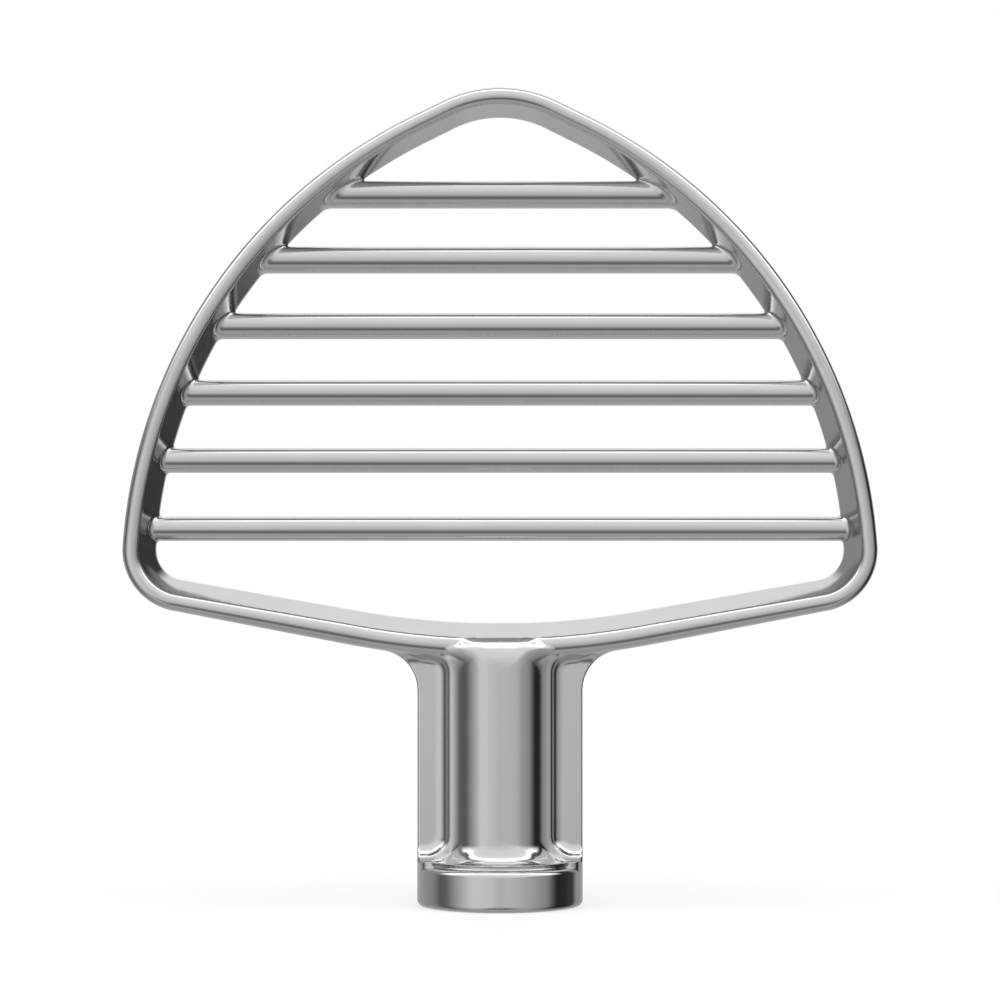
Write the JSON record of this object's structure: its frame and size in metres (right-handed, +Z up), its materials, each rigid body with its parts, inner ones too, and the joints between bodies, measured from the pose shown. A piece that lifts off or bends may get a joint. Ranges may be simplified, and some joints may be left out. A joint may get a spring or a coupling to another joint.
{
  "type": "stand mixer flat beater",
  "caption": "One-piece cast flat beater: rounded triangular frame with cross rods on a hub with pocketed wings, a collar and a blind keyed shaft bore.",
  "frame": {"origin": "centre of the collar's end face, at the mouth of the shaft bore", "axes": "+Z up the bore to the tip of the frame, X the beater's width, Y its depth"},
  "size_m": [0.1336, 0.0296, 0.145],
  "materials": {
    "polished_steel": "polished"
  },
  "bodies": {
    "root": {"beater": "polished_steel"}
  },
  "joints": []
}
